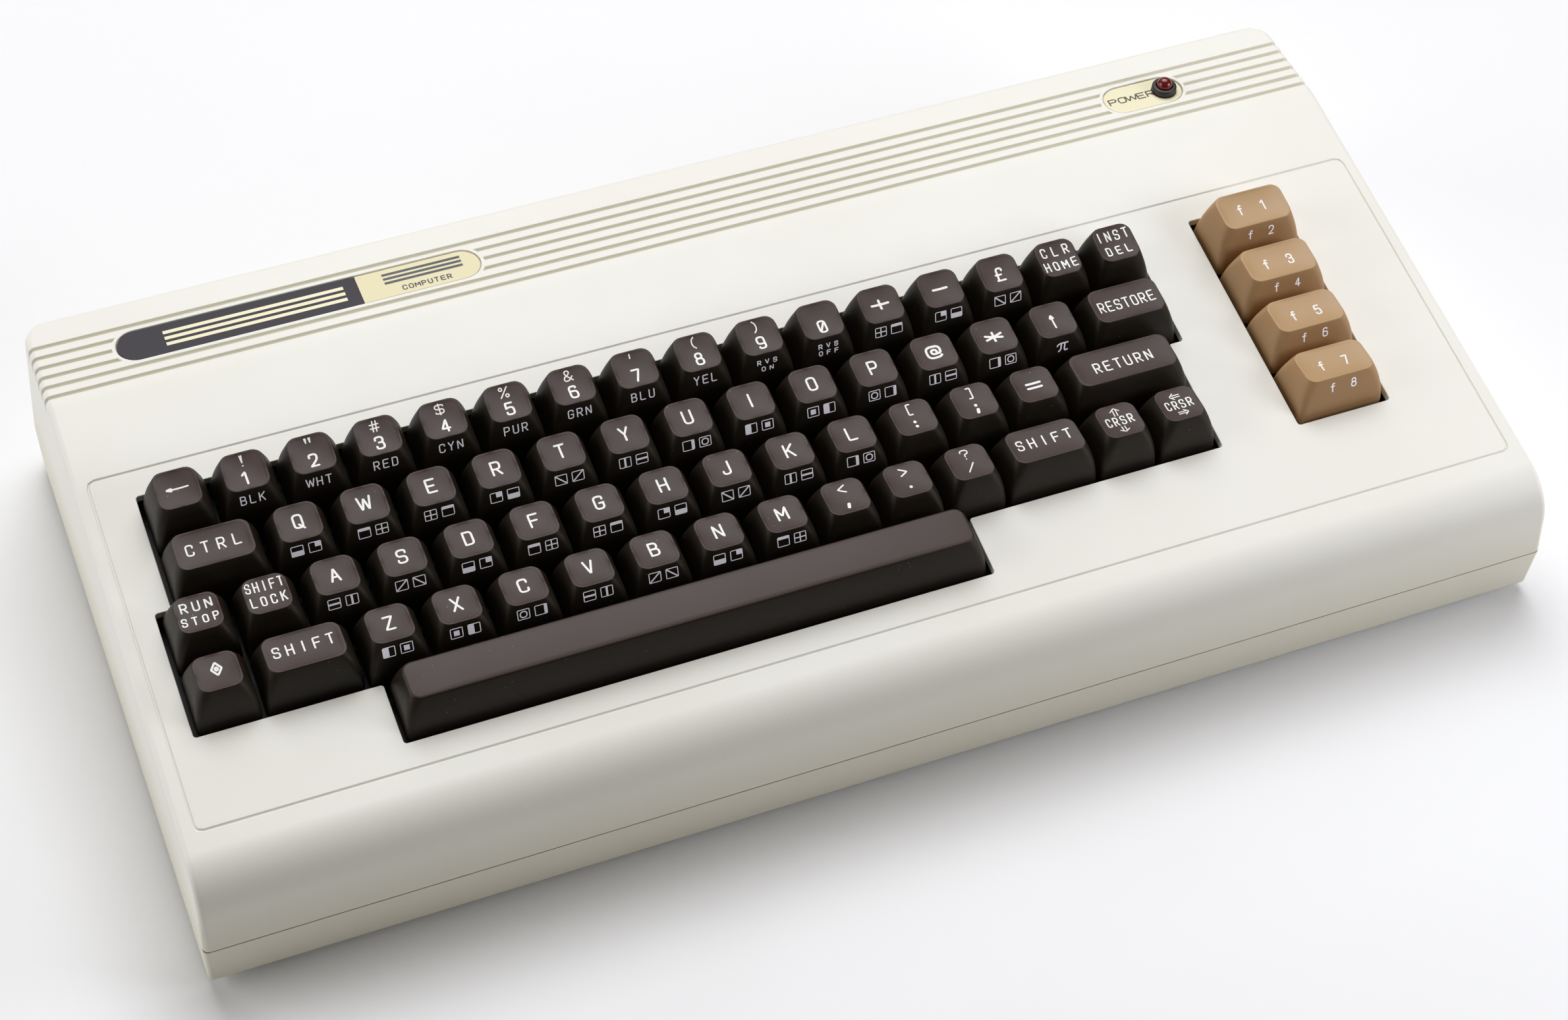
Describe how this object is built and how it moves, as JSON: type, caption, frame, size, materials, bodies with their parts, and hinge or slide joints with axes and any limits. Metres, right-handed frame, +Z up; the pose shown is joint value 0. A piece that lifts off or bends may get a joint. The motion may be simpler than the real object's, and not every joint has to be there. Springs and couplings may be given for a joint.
{
  "type": "vintage home computer",
  "caption": "Wedge shaped ivory home computer with a built in dark brown keyboard, tan function keys, ribbed rear band, power lamp and rear and side ports.",
  "frame": {"origin": "centre of the footprint, on the table", "axes": "+X to the right of someone typing, +Y to the rear, +Z up"},
  "size_m": [0.4074, 0.2052, 0.0746],
  "materials": {
    "ivory_plastic": "fine satin grain, slightly aged ivory",
    "dark_brown_plastic": "fine satin grain, dark brown, tops lighter from the light",
    "tan_plastic": "fine satin grain, tan",
    "black_plastic": "satin black",
    "board_laminate": "green glass fibre laminate",
    "badge_charcoal": "semi gloss charcoal with a cream end",
    "label_cream": "semi gloss cream",
    "lamp_red": "clear dark red resin",
    "plated_steel": "dull tin plate",
    "rubber": "matte black"
  },
  "bodies": {
    "housing": {"badge_plate": "badge_charcoal", "control_port": "plated_steel", "expansion_connector": "black_plastic", "foot_front_left": "rubber", "foot_front_right": "rubber", "foot_rear_left": "rubber", "foot_rear_right": "rubber", "keyboard_board": "board_laminate", "keyboard_frame": "dark_brown_plastic", "lamp_holder": "black_plastic", "lower_case": "ivory_plastic", "main_board": "board_laminate", "power_inlet": "black_plastic", "power_label_plate": "label_cream", "power_lamp": "lamp_red", "power_switch_body": "black_plastic", "serial_socket": "black_plastic", "upper_case": "ivory_plastic", "video_socket": "black_plastic"},
    "key_a": {"key_a": "dark_brown_plastic"},
    "key_b": {"key_b": "dark_brown_plastic"},
    "key_c": {"key_c": "dark_brown_plastic"},
    "key_ctrl": {"key_ctrl": "dark_brown_plastic"},
    "key_cursor_horizontal": {"key_cursor_horizontal": "dark_brown_plastic"},
    "key_cursor_vertical": {"key_cursor_vertical": "dark_brown_plastic"},
    "key_d": {"key_d": "dark_brown_plastic"},
    "key_e": {"key_e": "dark_brown_plastic"},
    "key_f": {"key_f": "dark_brown_plastic"},
    "key_f1": {"key_f1": "tan_plastic"},
    "key_f3": {"key_f3": "tan_plastic"},
    "key_f5": {"key_f5": "tan_plastic"},
    "key_f7": {"key_f7": "tan_plastic"},
    "key_g": {"key_g": "dark_brown_plastic"},
    "key_h": {"key_h": "dark_brown_plastic"},
    "key_i": {"key_i": "dark_brown_plastic"},
    "key_j": {"key_j": "dark_brown_plastic"},
    "key_k": {"key_k": "dark_brown_plastic"},
    "key_l": {"key_l": "dark_brown_plastic"},
    "key_m": {"key_m": "dark_brown_plastic"},
    "key_n": {"key_n": "dark_brown_plastic"},
    "key_o": {"key_o": "dark_brown_plastic"},
    "key_p": {"key_p": "dark_brown_plastic"},
    "key_q": {"key_q": "dark_brown_plastic"},
    "key_r": {"key_r": "dark_brown_plastic"},
    "key_restore": {"key_restore": "dark_brown_plastic"},
    "key_return": {"key_return": "dark_brown_plastic"},
    "key_run_stop": {"key_run_stop": "dark_brown_plastic"},
    "key_s": {"key_s": "dark_brown_plastic"},
    "key_shift_left": {"key_shift_left": "dark_brown_plastic"},
    "key_shift_lock": {"key_shift_lock": "dark_brown_plastic"},
    "key_shift_right": {"key_shift_right": "dark_brown_plastic"},
    "key_space": {"key_space": "dark_brown_plastic"},
    "key_t": {"key_t": "dark_brown_plastic"},
    "key_u": {"key_u": "dark_brown_plastic"},
    "key_v": {"key_v": "dark_brown_plastic"},
    "key_w": {"key_w": "dark_brown_plastic"},
    "key_x": {"key_x": "dark_brown_plastic"},
    "key_y": {"key_y": "dark_brown_plastic"},
    "key_z": {"key_z": "dark_brown_plastic"},
    "power_rocker": {"power_rocker": "black_plastic"}
  },
  "joints": [
    {"name": "key_a_press", "type": "slide", "parent": "housing", "child": "key_a", "axis": [0, -0.153, 0.9882], "range_m": [-0.0038, 0], "stiffness_N_per_m": 150, "springref_m": 0.002},
    {"name": "key_b_press", "type": "slide", "parent": "housing", "child": "key_b", "axis": [0, -0.153, 0.9882], "range_m": [-0.0038, 0], "stiffness_N_per_m": 150, "springref_m": 0.002},
    {"name": "key_c_press", "type": "slide", "parent": "housing", "child": "key_c", "axis": [0, -0.153, 0.9882], "range_m": [-0.0038, 0], "stiffness_N_per_m": 150, "springref_m": 0.002},
    {"name": "key_ctrl_press", "type": "slide", "parent": "housing", "child": "key_ctrl", "axis": [0, -0.153, 0.9882], "range_m": [-0.0038, 0], "stiffness_N_per_m": 150, "springref_m": 0.002},
    {"name": "key_cursor_horizontal_press", "type": "slide", "parent": "housing", "child": "key_cursor_horizontal", "axis": [0, -0.153, 0.9882], "range_m": [-0.0038, 0], "stiffness_N_per_m": 150, "springref_m": 0.002},
    {"name": "key_cursor_vertical_press", "type": "slide", "parent": "housing", "child": "key_cursor_vertical", "axis": [0, -0.153, 0.9882], "range_m": [-0.0038, 0], "stiffness_N_per_m": 150, "springref_m": 0.002},
    {"name": "key_d_press", "type": "slide", "parent": "housing", "child": "key_d", "axis": [0, -0.153, 0.9882], "range_m": [-0.0038, 0], "stiffness_N_per_m": 150, "springref_m": 0.002},
    {"name": "key_e_press", "type": "slide", "parent": "housing", "child": "key_e", "axis": [0, -0.153, 0.9882], "range_m": [-0.0038, 0], "stiffness_N_per_m": 150, "springref_m": 0.002},
    {"name": "key_f_press", "type": "slide", "parent": "housing", "child": "key_f", "axis": [0, -0.153, 0.9882], "range_m": [-0.0038, 0], "stiffness_N_per_m": 150, "springref_m": 0.002},
    {"name": "key_f1_press", "type": "slide", "parent": "housing", "child": "key_f1", "axis": [0, -0.153, 0.9882], "range_m": [-0.0038, 0], "stiffness_N_per_m": 150, "springref_m": 0.002},
    {"name": "key_f3_press", "type": "slide", "parent": "housing", "child": "key_f3", "axis": [0, -0.153, 0.9882], "range_m": [-0.0038, 0], "stiffness_N_per_m": 150, "springref_m": 0.002},
    {"name": "key_f5_press", "type": "slide", "parent": "housing", "child": "key_f5", "axis": [0, -0.153, 0.9882], "range_m": [-0.0038, 0], "stiffness_N_per_m": 150, "springref_m": 0.002},
    {"name": "key_f7_press", "type": "slide", "parent": "housing", "child": "key_f7", "axis": [0, -0.153, 0.9882], "range_m": [-0.0038, 0], "stiffness_N_per_m": 150, "springref_m": 0.002},
    {"name": "key_g_press", "type": "slide", "parent": "housing", "child": "key_g", "axis": [0, -0.153, 0.9882], "range_m": [-0.0038, 0], "stiffness_N_per_m": 150, "springref_m": 0.002},
    {"name": "key_h_press", "type": "slide", "parent": "housing", "child": "key_h", "axis": [0, -0.153, 0.9882], "range_m": [-0.0038, 0], "stiffness_N_per_m": 150, "springref_m": 0.002},
    {"name": "key_i_press", "type": "slide", "parent": "housing", "child": "key_i", "axis": [0, -0.153, 0.9882], "range_m": [-0.0038, 0], "stiffness_N_per_m": 150, "springref_m": 0.002},
    {"name": "key_j_press", "type": "slide", "parent": "housing", "child": "key_j", "axis": [0, -0.153, 0.9882], "range_m": [-0.0038, 0], "stiffness_N_per_m": 150, "springref_m": 0.002},
    {"name": "key_k_press", "type": "slide", "parent": "housing", "child": "key_k", "axis": [0, -0.153, 0.9882], "range_m": [-0.0038, 0], "stiffness_N_per_m": 150, "springref_m": 0.002},
    {"name": "key_l_press", "type": "slide", "parent": "housing", "child": "key_l", "axis": [0, -0.153, 0.9882], "range_m": [-0.0038, 0], "stiffness_N_per_m": 150, "springref_m": 0.002},
    {"name": "key_m_press", "type": "slide", "parent": "housing", "child": "key_m", "axis": [0, -0.153, 0.9882], "range_m": [-0.0038, 0], "stiffness_N_per_m": 150, "springref_m": 0.002},
    {"name": "key_n_press", "type": "slide", "parent": "housing", "child": "key_n", "axis": [0, -0.153, 0.9882], "range_m": [-0.0038, 0], "stiffness_N_per_m": 150, "springref_m": 0.002},
    {"name": "key_o_press", "type": "slide", "parent": "housing", "child": "key_o", "axis": [0, -0.153, 0.9882], "range_m": [-0.0038, 0], "stiffness_N_per_m": 150, "springref_m": 0.002},
    {"name": "key_p_press", "type": "slide", "parent": "housing", "child": "key_p", "axis": [0, -0.153, 0.9882], "range_m": [-0.0038, 0], "stiffness_N_per_m": 150, "springref_m": 0.002},
    {"name": "key_q_press", "type": "slide", "parent": "housing", "child": "key_q", "axis": [0, -0.153, 0.9882], "range_m": [-0.0038, 0], "stiffness_N_per_m": 150, "springref_m": 0.002},
    {"name": "key_r_press", "type": "slide", "parent": "housing", "child": "key_r", "axis": [0, -0.153, 0.9882], "range_m": [-0.0038, 0], "stiffness_N_per_m": 150, "springref_m": 0.002},
    {"name": "key_restore_press", "type": "slide", "parent": "housing", "child": "key_restore", "axis": [0, -0.153, 0.9882], "range_m": [-0.0038, 0], "stiffness_N_per_m": 150, "springref_m": 0.002},
    {"name": "key_return_press", "type": "slide", "parent": "housing", "child": "key_return", "axis": [0, -0.153, 0.9882], "range_m": [-0.0038, 0], "stiffness_N_per_m": 150, "springref_m": 0.002},
    {"name": "key_run_stop_press", "type": "slide", "parent": "housing", "child": "key_run_stop", "axis": [0, -0.153, 0.9882], "range_m": [-0.0038, 0], "stiffness_N_per_m": 150, "springref_m": 0.002},
    {"name": "key_s_press", "type": "slide", "parent": "housing", "child": "key_s", "axis": [0, -0.153, 0.9882], "range_m": [-0.0038, 0], "stiffness_N_per_m": 150, "springref_m": 0.002},
    {"name": "key_shift_left_press", "type": "slide", "parent": "housing", "child": "key_shift_left", "axis": [0, -0.153, 0.9882], "range_m": [-0.0038, 0], "stiffness_N_per_m": 150, "springref_m": 0.002},
    {"name": "key_shift_lock_press", "type": "slide", "parent": "housing", "child": "key_shift_lock", "axis": [0, -0.153, 0.9882], "range_m": [-0.0038, 0], "stiffness_N_per_m": 150, "springref_m": 0.002},
    {"name": "key_shift_right_press", "type": "slide", "parent": "housing", "child": "key_shift_right", "axis": [0, -0.153, 0.9882], "range_m": [-0.0038, 0], "stiffness_N_per_m": 150, "springref_m": 0.002},
    {"name": "key_space_press", "type": "slide", "parent": "housing", "child": "key_space", "axis": [0, -0.153, 0.9882], "range_m": [-0.0038, 0], "stiffness_N_per_m": 300, "springref_m": 0.003},
    {"name": "key_t_press", "type": "slide", "parent": "housing", "child": "key_t", "axis": [0, -0.153, 0.9882], "range_m": [-0.0038, 0], "stiffness_N_per_m": 150, "springref_m": 0.002},
    {"name": "key_u_press", "type": "slide", "parent": "housing", "child": "key_u", "axis": [0, -0.153, 0.9882], "range_m": [-0.0038, 0], "stiffness_N_per_m": 150, "springref_m": 0.002},
    {"name": "key_v_press", "type": "slide", "parent": "housing", "child": "key_v", "axis": [0, -0.153, 0.9882], "range_m": [-0.0038, 0], "stiffness_N_per_m": 150, "springref_m": 0.002},
    {"name": "key_w_press", "type": "slide", "parent": "housing", "child": "key_w", "axis": [0, -0.153, 0.9882], "range_m": [-0.0038, 0], "stiffness_N_per_m": 150, "springref_m": 0.002},
    {"name": "key_x_press", "type": "slide", "parent": "housing", "child": "key_x", "axis": [0, -0.153, 0.9882], "range_m": [-0.0038, 0], "stiffness_N_per_m": 150, "springref_m": 0.002},
    {"name": "key_y_press", "type": "slide", "parent": "housing", "child": "key_y", "axis": [0, -0.153, 0.9882], "range_m": [-0.0038, 0], "stiffness_N_per_m": 150, "springref_m": 0.002},
    {"name": "key_z_press", "type": "slide", "parent": "housing", "child": "key_z", "axis": [0, -0.153, 0.9882], "range_m": [-0.0038, 0], "stiffness_N_per_m": 150, "springref_m": 0.002},
    {"name": "power_rocker_tip", "type": "hinge", "parent": "housing", "child": "power_rocker", "pos_m": [0.19749, 0.04, 0.024], "axis": [0, 0, 1], "range_deg": [0, 14]}
  ]
}
